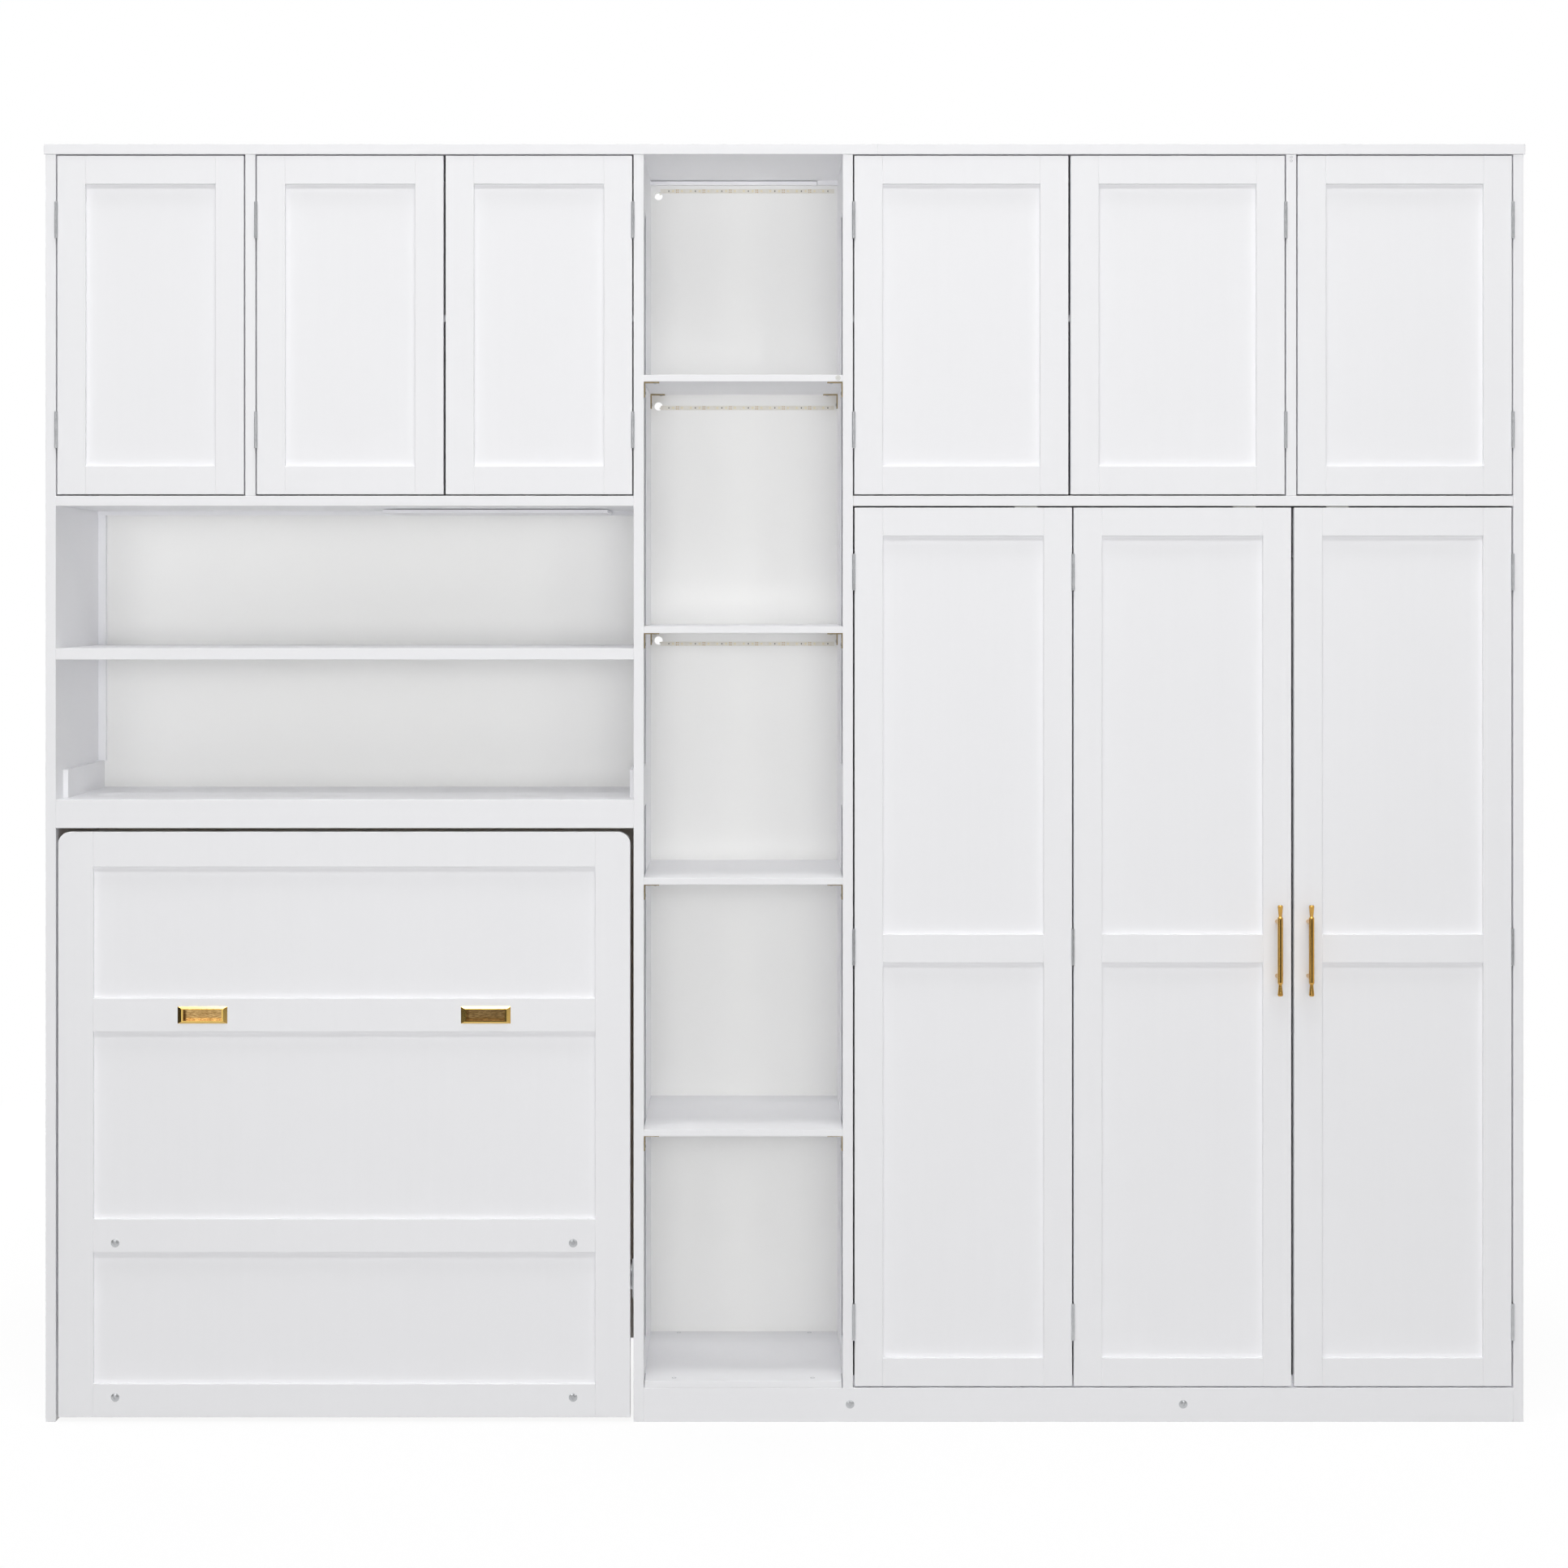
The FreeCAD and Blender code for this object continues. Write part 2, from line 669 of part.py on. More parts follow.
# Side rails, cross bearers and the slats that stay with the bed front
def bed_base():
    rail_back = bed_back + side_rail_depth
    pin_hole = rod_along_x(bay_left, bay_right, pivot_y, pivot_z, pivot_pin_radius + pivot_pin_play)
    bush_hole = rod_along_x(bay_left, bay_right, pivot_y, pivot_z, bush_radius)
    for x0 in (bed_left + side_rail_inset, bed_right - side_rail_inset - side_rail_width):
        x1 = x0 + side_rail_width
        rail = board(x0, x1, bed_back, rail_back, side_rail_low, bed_top - side_rail_top_gap)
        add("bed_base_frame", one_solid(rail.cut(bush_hole)))
        bush = rod_along_x(x0, x1, pivot_y, pivot_z, bush_radius)
        add("bed_pivot_bushes", one_solid(bush.cut(pin_hole)))
    bearers = (
        (bearer_low_z, bearer_height),
        (bed_lower_rail_z, bed_rail),
        (bed_pull_rail_z, bed_rail),
        (top_bearer_z, top_bearer_height),
    )
    for z, height in bearers:
        bearer = block(base_left, base_right, bed_back, slat_front, z, z + height)
        for x in bolt_columns():
            for bolt_z in (bolt_low_z, bolt_high_z):
                bearer = one_solid(bearer.cut(bolt_hole(x, bolt_z)))
        add("bed_base_frame", bearer)
    for x0, x1 in slat_spans()[::2]:
        slat_top = end_rail_z - leg_gap
        add("bed_slats", board(x0, x1, slat_front, slat_front + slat_thickness, slat_low, slat_top))


def slat_spans():
    low = base_left + runner_width + running_gap
    pitch = (base_right - runner_width - running_gap - low) / slat_count
    half = (pitch - slat_gap) / 2
    centres = [low + (i + 1 / 2) * pitch for i in range(slat_count)]
    return [(centre - half, centre + half) for centre in centres]


# Sealed spring pivots on the two uprights that the bed hangs between
def bed_pivots():
    half = pivot_plate / 2
    for x_wall, side, rail in ((bay_left, 1, base_left), (bay_right, -1, base_right)):
        rail_face = rail - side * side_rail_width
        plate_x = sorted((x_wall, x_wall + side * pivot_plate_thickness))
        housing_x = sorted((x_wall, rail_face - side * running_gap))
        pin_x = sorted((x_wall, rail - side * pivot_pin_short))
        plate = block(*plate_x, pivot_y - half, pivot_y + half, pivot_z - half, pivot_z + half)
        housing = rod_along_x(*housing_x, pivot_y, pivot_z, spring_housing_radius)
        pin = rod_along_x(*pin_x, pivot_y, pivot_z, pivot_pin_radius)
        add("bed_pivots", one_solid(plate.fuse([housing, pin])))


# Sliding half: runners and slats between the fixed ones, tied by an end rail that carries the legs
def pull_out():
    front = slat_front + slide_lift
    rail_top = end_rail_z + end_rail_height
    rail_back = bed_back + side_rail_depth
    end_rail = block(base_left + running_gap, base_right - running_gap, front, rail_back,
                     end_rail_z, rail_top)
    pin_top = rail_top + leg_gap + leg_width
    pins = [rod_along_z(x, leg_axis_y, rail_top, pin_top, leg_pin_radius) for x in leg_axes]
    add("pullout_frame", one_solid(end_rail.fuse(pins)))
    for x0 in (base_left + running_gap, base_right - running_gap - runner_width):
        add("pullout_frame", block(x0, x0 + runner_width, front, front + runner_depth, slat_low, end_rail_z))
    for x0, x1 in slat_spans()[1::2]:
        add("pullout_slats", board(x0, x1, front, front + slat_thickness, slat_low, end_rail_z))


def folding_legs():
    z0 = end_rail_z + end_rail_height + leg_gap
    z1 = z0 + leg_width
    reach = pivot_z + leg_axis_y - pivot_y - leg_floor_clear
    half = leg_thickness / 2
    for name, x, side in (("left_leg", leg_axes[0], 1), ("right_leg", leg_axes[1], -1)):
        x0, x1 = sorted((x - side * leg_heel, x + side * reach))
        leg = board(x0, x1, leg_axis_y - half, leg_axis_y + half, z0, z1)
        hole = rod_along_z(x, leg_axis_y, z0 - overrun, z1 + overrun, leg_pin_radius + leg_pin_play)
        add(name, one_solid(leg.cut(hole)))


# Door leaves from left to right: lower edge, upper edge and hinge side
cupboard_gaps = 4 * cupboard_gap + cupboard_meeting_gap
cupboard_width_left = (bay_width - divider_thickness - cupboard_gaps) / 3
cupboard_width_right = (wardrobe_width - divider_thickness - cupboard_gaps) / 3
left_divider = bay_left + cupboard_width_left + 2 * cupboard_gap
right_divider = wardrobe_right - cupboard_width_right - 2 * cupboard_gap - divider_thickness
left_middle = bay_right - cupboard_gap - cupboard_width_left
right_middle = right_divider - cupboard_gap - cupboard_width_right
cupboard_leaves = (
    (bay_left + cupboard_gap, left_divider - cupboard_gap, -1),
    (left_divider + divider_thickness + cupboard_gap, left_middle - cupboard_meeting_gap, -1),
    (left_middle, bay_right - cupboard_gap, 1),
    (wardrobe_left + cupboard_gap, right_middle - cupboard_meeting_gap, -1),
    (right_middle, right_divider - cupboard_gap, 1),
    (right_divider + divider_thickness + cupboard_gap, wardrobe_right - cupboard_gap, 1),
)
wardrobe_spaces = (wardrobe_gap, wardrobe_gap, wardrobe_meeting_gap)
wardrobe_leaf_width = (wardrobe_width - wardrobe_gap - sum(wardrobe_spaces)) / 3
wardrobe_leaves = []
leaf_right = wardrobe_left
for space, hinge_side in zip(wardrobe_spaces, (-1, -1, 1)):
    leaf_left = leaf_right + space
    leaf_right = leaf_left + wardrobe_leaf_width
    wardrobe_leaves.append((leaf_left, leaf_right, hinge_side))
catch_places = [(x0, x1, -side, cupboard_shelf_z) for x0, x1, side in cupboard_leaves]
catch_places += [(x0, x1, -side, cupboard_floor_z) for x0, x1, side in wardrobe_leaves]

# Bed base places between the side rails
base_left = bed_left + side_rail_inset + side_rail_width
base_right = bed_right - side_rail_inset - side_rail_width
slat_front = bed_back + bearer_thickness
leg_axis_y = bed_back + side_rail_depth - leg_thickness / 2
leg_axes = (base_left + leg_pivot_inset, base_right - leg_pivot_inset)

carcass_uprights()
carcass_backs()
cupboards()
open_bay()
shelf_column()
plinth_and_floor()
hanging_rail()
magnetic_catches()
cupboard_doors()
wardrobe_doors()
bed_front()
bed_base()
bed_pivots()
pull_out()
folding_legs()

for node, solids in nodes.items():
    shape = solids[0] if len(solids) == 1 else Part.makeCompound(solids)
    shape.exportStep(f"parts/{node}.step")
print(len(nodes), "nodes,", sum(len(solids) for solids in nodes.values()), "solids")
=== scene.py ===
import math

import bmesh
import bpy
from mathutils import Matrix, Vector


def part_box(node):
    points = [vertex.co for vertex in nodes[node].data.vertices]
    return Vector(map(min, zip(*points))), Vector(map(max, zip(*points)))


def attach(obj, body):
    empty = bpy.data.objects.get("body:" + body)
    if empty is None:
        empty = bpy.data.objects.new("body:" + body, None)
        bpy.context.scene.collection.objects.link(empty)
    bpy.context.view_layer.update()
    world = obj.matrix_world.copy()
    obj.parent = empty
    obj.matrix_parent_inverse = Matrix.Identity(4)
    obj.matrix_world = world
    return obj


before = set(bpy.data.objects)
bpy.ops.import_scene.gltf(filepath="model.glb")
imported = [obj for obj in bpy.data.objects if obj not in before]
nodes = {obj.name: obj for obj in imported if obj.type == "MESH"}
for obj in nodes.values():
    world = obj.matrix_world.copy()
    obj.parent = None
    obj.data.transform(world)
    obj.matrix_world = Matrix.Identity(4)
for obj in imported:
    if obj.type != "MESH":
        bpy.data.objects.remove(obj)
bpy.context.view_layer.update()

mm = 0.001


def linear(hexColour):
    values = [int(hexColour[i:i + 2], 16) / 255 for i in (1, 3, 5)]
    return [v / 12.92 if v <= 0.04045 else ((v + 0.055) / 1.055) ** 2.4 for v in values] + [1.0]


def addNode(tree, kind, inputs=None, **settings):
    made = tree.nodes.new(kind)
    for name, value in settings.items():
        setattr(made, name, value)
    for name, value in (inputs or {}).items():
        if isinstance(value, bpy.types.NodeSocket):
            tree.links.new(value, made.inputs[name])
        else:
            made.inputs[name].default_value = value
    return made


def newMaterial(name):
    material = bpy.data.materials.new(name)
    material.use_nodes = True
    tree = material.node_tree
    return material, tree, tree.nodes["Principled BSDF"]


def wear(nodeNames, material):
    for name in nodeNames:
        mesh = nodes[name].data
        mesh.materials.clear()
        mesh.materials.append(material)


def makePiece(name, mesh, material, body):
    data = bpy.data.meshes.new(name)
    mesh.normal_update()
    mesh.to_mesh(data)
    mesh.free()
    piece = bpy.data.objects.new(name, data)
    bpy.context.scene.collection.objects.link(piece)
    data.materials.append(material)
    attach(piece, body)


# a soft-edged little block, for parts soldered on a face
ease = {"segments": 2, "profile": 0.5}


def addBlock(mesh, centre, sizeMm, easeMm):
    made = bmesh.ops.create_cube(mesh, size=1.0)["verts"]
    bmesh.ops.scale(mesh, vec=Vector(sizeMm) * mm, verts=made)
    bmesh.ops.translate(mesh, vec=Vector(centre), verts=made)
    edges = list({e for v in made for e in v.link_edges})
    bmesh.ops.bevel(mesh, geom=edges, offset=easeMm * mm, segments=ease["segments"], affect="EDGES",
                    profile=ease["profile"])


# a turned head: rings of (radius, height) in mm spun about the axis
def addTurned(mesh, ringsMm, place, axis, sides):
    turn = Vector((0, 0, 1)).rotation_difference(Vector(axis)).to_matrix().to_4x4()
    where = Matrix.Translation(Vector(place)) @ turn
    loops = []
    for radius, height in ringsMm:
        ring = []
        for i in range(sides):
            a = 2 * math.pi * i / sides
            spot = Vector((radius * math.cos(a), radius * math.sin(a), height)) * mm
            ring.append(mesh.verts.new(where @ spot))
        loops.append(ring)
    for low, high in zip(loops, loops[1:]):
        for i in range(sides):
            j = (i + 1) % sides
            mesh.faces.new((low[i], low[j], high[j], high[i]))
    mesh.faces.new(list(reversed(loops[0])))
    mesh.faces.new(loops[-1])


# wood and fibreboard under sprayed satin lacquer: even white, soft sheen, a ghost of grain along each member,
# drawn wider than real grain so that it shows
lacquer = {"colour": "#F4F4F6", "shade": "#F3F3F5", "roughness": 0.42, "glossSpread": 0.02, "ior": 1.49,
           "grainWidthMm": 11.0, "grainLengthMm": 420.0, "mottleMm": 420.0, "contrast": (0.12, 0.42),
           "grainDetail": 4.0, "grainRoughness": 0.6, "mottleDetail": 2.0, "bump": 0.015, "bumpMm": 0.4}


def sprayedLacquer(name, lengthwise):
    material, tree, shader = newMaterial(name)
    place = addNode(tree, "ShaderNodeTexCoord")
    stretch = [1 / (lacquer["grainWidthMm"] * mm)] * 3
    stretch[lengthwise] = 1 / (lacquer["grainLengthMm"] * mm)
    lay = addNode(tree, "ShaderNodeMapping", {"Vector": place.outputs["Object"], "Scale": stretch})
    grain = addNode(tree, "ShaderNodeTexNoise", {"Vector": lay.outputs["Vector"], "Scale": 1.0,
                                                 "Detail": lacquer["grainDetail"],
                                                 "Roughness": lacquer["grainRoughness"]})
    mottle = addNode(tree, "ShaderNodeTexNoise", {"Vector": place.outputs["Object"],
                                                  "Scale": 1 / (lacquer["mottleMm"] * mm),
                                                  "Detail": lacquer["mottleDetail"]})
    blend = addNode(tree, "ShaderNodeMath", {0: grain.outputs["Fac"], 1: mottle.outputs["Fac"]},
                    operation="MULTIPLY")
    spread = addNode(tree, "ShaderNodeMapRange", {"Value": blend.outputs["Value"],
                                                  "From Min": lacquer["contrast"][0],
                                                  "From Max": lacquer["contrast"][1]})
    colour = addNode(tree, "ShaderNodeMix", {"Factor": spread.outputs["Result"], 6: linear(lacquer["shade"]),
                                             7: linear(lacquer["colour"])}, data_type="RGBA")
    gloss = addNode(tree, "ShaderNodeMapRange", {"Value": grain.outputs["Fac"],
                                                 "To Min": lacquer["roughness"] - lacquer["glossSpread"],
                                                 "To Max": lacquer["roughness"] + lacquer["glossSpread"]})
    relief = addNode(tree, "ShaderNodeBump", {"Height": grain.outputs["Fac"], "Strength": lacquer["bump"],
                                              "Distance": lacquer["bumpMm"] * mm})
    tree.links.new(colour.outputs[2], shader.inputs["Base Color"])
    tree.links.new(gloss.outputs["Result"], shader.inputs["Roughness"])
    tree.links.new(relief.outputs["Normal"], shader.inputs["Normal"])
    shader.inputs["IOR"].default_value = lacquer["ior"]
    return material


lacquerUpright = sprayedLacquer("whiteLacquerSprayedUpright", 2)
lacquerLevel = sprayedLacquer("whiteLacquerSprayedLevel", 0)

# thin fibreboard with a rolled white face: flatter and a little warmer, with a broad soft sheen
rolledFace = {"colour": "#F6F6F4", "shade": "#F3F3F1", "roughness": 0.27, "patchMm": 260.0, "peelMm": 14.0,
              "patchDetail": 3.0, "peelDetail": 2.0, "bump": 0.03, "bumpMm": 0.3}
fibreboard, tree, shader = newMaterial("fibreboardWhiteRolledFace")
place = addNode(tree, "ShaderNodeTexCoord")
patch = addNode(tree, "ShaderNodeTexNoise", {"Vector": place.outputs["Object"],
                                             "Scale": 1 / (rolledFace["patchMm"] * mm),
                                             "Detail": rolledFace["patchDetail"]})
peel = addNode(tree, "ShaderNodeTexNoise", {"Vector": place.outputs["Object"],
                                            "Scale": 1 / (rolledFace["peelMm"] * mm),
                                            "Detail": rolledFace["peelDetail"]})
colour = addNode(tree, "ShaderNodeMix", {"Factor": patch.outputs["Fac"], 6: linear(rolledFace["shade"]),
                                         7: linear(rolledFace["colour"])}, data_type="RGBA")
relief = addNode(tree, "ShaderNodeBump", {"Height": peel.outputs["Fac"], "Strength": rolledFace["bump"],
                                          "Distance": rolledFace["bumpMm"] * mm})
tree.links.new(colour.outputs[2], shader.inputs["Base Color"])
tree.links.new(relief.outputs["Normal"], shader.inputs["Normal"])
shader.inputs["Roughness"].default_value = rolledFace["roughness"]

# planed pine under clear satin: pale straw, darker late-wood lines along the length, each board its own tone
pine = {"light": "#E6CD9E", "dark": "#C39A5E", "tint": "#CFA56A", "ringMm": 9.0, "ringLengthMm": 520.0,
        "ringWander": 0.8, "boardMm": 75.0, "boardLengthMm": 4000.0, "lateWood": (0.42, 0.68),
        "boardTone": (0.35, 0.65), "tintMost": 0.55, "levelAboveMm": 930.0, "detail": 4.0, "roughness": 0.5,
        "bump": 0.12, "bumpMm": 0.4}


def planedPine(name, lengthwise, levelAboveMm=None):
    material, tree, shader = newMaterial(name)
    place = addNode(tree, "ShaderNodeTexCoord")
    spot = place.outputs["Object"]
    if levelAboveMm is not None:
        apart = addNode(tree, "ShaderNodeSeparateXYZ", {"Vector": spot})
        turned = addNode(tree, "ShaderNodeCombineXYZ", {"X": apart.outputs["Z"], "Y": apart.outputs["Y"],
                                                        "Z": apart.outputs["X"]})
        above = addNode(tree, "ShaderNodeMath", {0: apart.outputs["Z"], 1: levelAboveMm * mm},
                        operation="GREATER_THAN")
        chosen = addNode(tree, "ShaderNodeMix", {"Factor": above.outputs["Value"], 4: spot,
                                                 5: turned.outputs["Vector"]}, data_type="VECTOR")
        spot = chosen.outputs[1]
    noises = []
    for width, length, wander in (("ringMm", "ringLengthMm", pine["ringWander"]),
                                  ("boardMm", "boardLengthMm", 0.0)):
        stretch = [1 / (pine[width] * mm)] * 3
        stretch[lengthwise] = 1 / (pine[length] * mm)
        lay = addNode(tree, "ShaderNodeMapping", {"Vector": spot, "Scale": stretch})
        noises.append(addNode(tree, "ShaderNodeTexNoise", {"Vector": lay.outputs["Vector"], "Scale": 1.0,
                                                           "Detail": pine["detail"], "Distortion": wander}))
    rings, boards = noises
    late = addNode(tree, "ShaderNodeMapRange", {"Value": rings.outputs["Fac"],
                                                "From Min": pine["lateWood"][0],
                                                "From Max": pine["lateWood"][1]})
    tone = addNode(tree, "ShaderNodeMapRange", {"Value": boards.outputs["Fac"],
                                                "From Min": pine["boardTone"][0],
                                                "From Max": pine["boardTone"][1], "To Max": pine["tintMost"]})
    ground = addNode(tree, "ShaderNodeMix", {"Factor": tone.outputs["Result"], 6: linear(pine["light"]),
                                             7: linear(pine["tint"])}, data_type="RGBA")
    colour = addNode(tree, "ShaderNodeMix", {"Factor": late.outputs["Result"], 6: ground.outputs[2],
                                             7: linear(pine["dark"])}, data_type="RGBA")
    relief = addNode(tree, "ShaderNodeBump", {"Height": rings.outputs["Fac"], "Strength": pine["bump"],
                                              "Distance": pine["bumpMm"] * mm})
    tree.links.new(colour.outputs[2], shader.inputs["Base Color"])
    tree.links.new(relief.outputs["Normal"], shader.inputs["Normal"])
    shader.inputs["Roughness"].default_value = pine["roughness"]
    return material


pineUpright = planedPine("pinePlanedClearSatinUpright", 2)
pineLevel = planedPine("pinePlanedClearSatinLevel", 0)
pineTurned = planedPine("pinePlanedClearSatinFramed", 2, pine["levelAboveMm"])

# lacquered brass, turned and buffed: deep gold with lines left by the buffing, drawn coarse enough to show
brass = {"light": "#E2B766", "dark": "#B98A42", "lineMm": 1.4, "lineLengthMm": 40.0, "lineDetail": 3.0,
         "roughness": 0.2, "glossSpread": 0.06}
buffedBrass, tree, shader = newMaterial("brassTurnedBuffedLacquered")
place = addNode(tree, "ShaderNodeTexCoord")
lay = addNode(tree, "ShaderNodeMapping", {"Vector": place.outputs["Object"],
                                          "Scale": [1 / (brass["lineMm"] * mm), 1 / (brass["lineMm"] * mm),
                                                    1 / (brass["lineLengthMm"] * mm)]})
lines = addNode(tree, "ShaderNodeTexNoise", {"Vector": lay.outputs["Vector"], "Scale": 1.0,
                                             "Detail": brass["lineDetail"]})
colour = addNode(tree, "ShaderNodeMix", {"Factor": lines.outputs["Fac"], 6: linear(brass["dark"]),
                                         7: linear(brass["light"])}, data_type="RGBA")
gloss = addNode(tree, "ShaderNodeMapRange", {"Value": lines.outputs["Fac"],
                                             "To Min": brass["roughness"] - brass["glossSpread"],
                                             "To Max": brass["roughness"] + brass["glossSpread"]})
tree.links.new(colour.outputs[2], shader.inputs["Base Color"])
tree.links.new(gloss.outputs["Result"], shader.inputs["Roughness"])
shader.inputs["Metallic"].default_value = 1.0

# stamped brass: a polished rim that mirrors the room, round a tan pocket floor brushed along its length,
# brush lines drawn coarse enough to show, and the floor drawn darker than the rim as painted shade in the
# pocket
stamped = {"rim": "#E6C06E", "floorLight": "#DDBB82", "floorDarkBrushAndShade": "#A67F48", "lineMm": 1.1,
           "lineLengthMm": 7.0, "lineDetail": 3.0, "contrast": (0.35, 0.65), "roughness": 0.14,
           "floorRoughness": 0.22, "floorBehindMm": 12.0}
stampedBrass, tree, shader = newMaterial("brassStampedRimPocketBrushedPaintedShade")
place = addNode(tree, "ShaderNodeTexCoord")
apart = addNode(tree, "ShaderNodeSeparateXYZ", {"Vector": place.outputs["Object"]})
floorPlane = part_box("flush_pulls")[0].y + stamped["floorBehindMm"] * mm
# painted shade: behind this depth the floor takes the darker tone that stands in for the shade in the pocket;
# its roughness changes there too
pocketFloorBrushedAndShaded = addNode(tree, "ShaderNodeMath", {0: apart.outputs["Y"], 1: floorPlane}, operation="GREATER_THAN")
lay = addNode(tree, "ShaderNodeMapping", {"Vector": place.outputs["Object"],
                                          "Scale": [1 / (stamped["lineLengthMm"] * mm),
                                                    1 / (stamped["lineMm"] * mm),
                                                    1 / (stamped["lineMm"] * mm)]})
lines = addNode(tree, "ShaderNodeTexNoise", {"Vector": lay.outputs["Vector"], "Scale": 1.0,
                                             "Detail": stamped["lineDetail"]})
late = addNode(tree, "ShaderNodeMapRange", {"Value": lines.outputs["Fac"], "From Min": stamped["contrast"][0],
                                            "From Max": stamped["contrast"][1]})
brushAndShade = addNode(tree, "ShaderNodeMix", {"Factor": late.outputs["Result"], 6: linear(stamped["floorDarkBrushAndShade"]),
                                          7: linear(stamped["floorLight"])}, data_type="RGBA")
colour = addNode(tree, "ShaderNodeMix", {"Factor": pocketFloorBrushedAndShaded.outputs["Value"], 6: linear(stamped["rim"]),
                                         7: brushAndShade.outputs[2]}, data_type="RGBA")
gloss = addNode(tree, "ShaderNodeMapRange", {"Value": pocketFloorBrushedAndShaded.outputs["Value"],
                                             "To Min": stamped["roughness"],
                                             "To Max": stamped["floorRoughness"]})
tree.links.new(colour.outputs[2], shader.inputs["Base Color"])
tree.links.new(gloss.outputs["Result"], shader.inputs["Roughness"])
shader.inputs["Metallic"].default_value = 1.0

# drawn steel tube with bright chrome: near mirror, faint draw lines along the tube, coarse enough to show
chromed = {"colour": "#D5D6D8", "lineMm": 1.1, "lineLengthMm": 125.0, "roughness": 0.11, "glossSpread": 0.05}
chrome, tree, shader = newMaterial("steelTubeChromePlated")
place = addNode(tree, "ShaderNodeTexCoord")
lay = addNode(tree, "ShaderNodeMapping", {"Vector": place.outputs["Object"],
                                          "Scale": [1 / (chromed["lineLengthMm"] * mm),
                                                    1 / (chromed["lineMm"] * mm),
                                                    1 / (chromed["lineMm"] * mm)]})
draw = addNode(tree, "ShaderNodeTexNoise", {"Vector": lay.outputs["Vector"], "Scale": 1.0})
gloss = addNode(tree, "ShaderNodeMapRange", {"Value": draw.outputs["Fac"],
                                             "To Min": chromed["roughness"] - chromed["glossSpread"],
                                             "To Max": chromed["roughness"] + chromed["glossSpread"]})
tree.links.new(gloss.outputs["Result"], shader.inputs["Roughness"])
shader.inputs["Base Color"].default_value = linear(chromed["colour"])
shader.inputs["Metallic"].default_value = 1.0

# two close tones in soft patches, with the gloss varying along with them
bloom = {"glossSpread": 0.08, "detail": 3.0}


def mottled(name, look):
    material, tree, shader = newMaterial(name)
    place = addNode(tree, "ShaderNodeTexCoord")
    patch = addNode(tree, "ShaderNodeTexNoise", {"Vector": place.outputs["Object"],
                                                 "Scale": 1 / (look["patchMm"] * mm),
                                                 "Detail": bloom["detail"]})
    colour = addNode(tree, "ShaderNodeMix", {"Factor": patch.outputs["Fac"], 6: linear(look["dark"]),
                                             7: linear(look["light"])}, data_type="RGBA")
    gloss = addNode(tree, "ShaderNodeMapRange", {"Value": patch.outputs["Fac"],
                                                 "To Min": look["roughness"] - bloom["glossSpread"],
                                                 "To Max": look["roughness"] + bloom["glossSpread"]})
    tree.links.new(colour.outputs[2], shader.inputs["Base Color"])
    tree.links.new(gloss.outputs["Result"], shader.inputs["Roughness"])
    shader.inputs["Metallic"].default_value = look["metallic"]
    return material


# bright zinc on pressed steel: cool grey with a cloudy bloom
zincPlate = mottled("steelPressedZincPlated",
                    {"light": "#D2D3D5", "dark": "#ADAFB2", "patchMm": 9.0,
                     "roughness": 0.32, "metallic": 1.0})
# yellow passivated zinc on the shelf brackets: a tan bloom over the grey
yellowZinc = mottled("steelFoldedYellowPassivated",
                     {"light": "#C9B78E", "dark": "#8F7C56", "patchMm": 7.0,
                      "roughness": 0.4, "metallic": 1.0})
# moulded nylon: matt white with a faint flow pattern
nylon = mottled("nylonMouldedNatural",
                {"light": "#E0E0DC", "dark": "#D6D6D1", "patchMm": 5.0,
                 "roughness": 0.55, "metallic": 0.0})
# flexible circuit under white solder mask: creamy where copper runs beneath
mask = mottled("polyimideWhiteSolderMask",
               {"light": "#EEECE6", "dark": "#DEDACE", "patchMm": 6.0,
                "roughness": 0.45, "metallic": 0.0})
# tinned copper pads: dull tan metal
padCopper = mottled("copperPadsTinned",
                    {"light": "#DCC59A", "dark": "#BC9A66", "patchMm": 2.0,
                     "roughness": 0.4, "metallic": 1.0})
# phosphor resin cast over each light: pale yellow, a little glossy
phosphor = mottled("phosphorResinCast",
                   {"light": "#F0E8CC", "dark": "#E6D9AE", "patchMm": 1.5,
                    "roughness": 0.35, "metallic": 0.0})
# glazed ceramic of the resistors: black with a soft highlight
ceramic = mottled("ceramicBlackGlazed",
                  {"light": "#3A3A3C", "dark": "#1C1C1E", "patchMm": 1.0,
                   "roughness": 0.3, "metallic": 0.0})
print("materials made")

wear([n for n in nodes if "door_" in n and not n.endswith("_hinges")], lacquerUpright)
wear(["left_side_panel", "right_side_panel", "bay_partition", "wardrobe_partition", "cupboard_dividers",
      "bed_front_frame", "bed_front_panels"], lacquerUpright)
wear(["left_top_board", "right_top_board", "cupboard_floors", "cupboard_shelves", "bay_shelf", "bay_floor",
      "bay_fascia", "bay_battens", "column_shelves", "column_floor", "wardrobe_floor", "plinth",
      "plinth_bearers"], lacquerLevel)
wear(["bay_back", "column_back", "wardrobe_back", "wall_rails"], fibreboard)
wear(["bed_base_frame", "bed_slats", "pullout_slats"], pineUpright)
wear(["left_leg", "right_leg"], pineLevel)
wear(["pullout_frame"], pineTurned)
wear(["wardrobe_handle_2", "wardrobe_handle_3"], buffedBrass)
wear(["flush_pulls"], stampedBrass)
wear([n for n in nodes if n.endswith("_hinges")] + ["carcass_hinge_leaves", "bed_bolts", "plinth_bolts",
                                                   "bed_pivots"], zincPlate)
wear(["shelf_brackets"], yellowZinc)
wear(["hanging_rail"], chrome)
wear(["magnetic_catches", "bed_pivot_bushes"], nylon)
wear(["led_strips"], mask)
print("finishes on", len(nodes), "nodes")

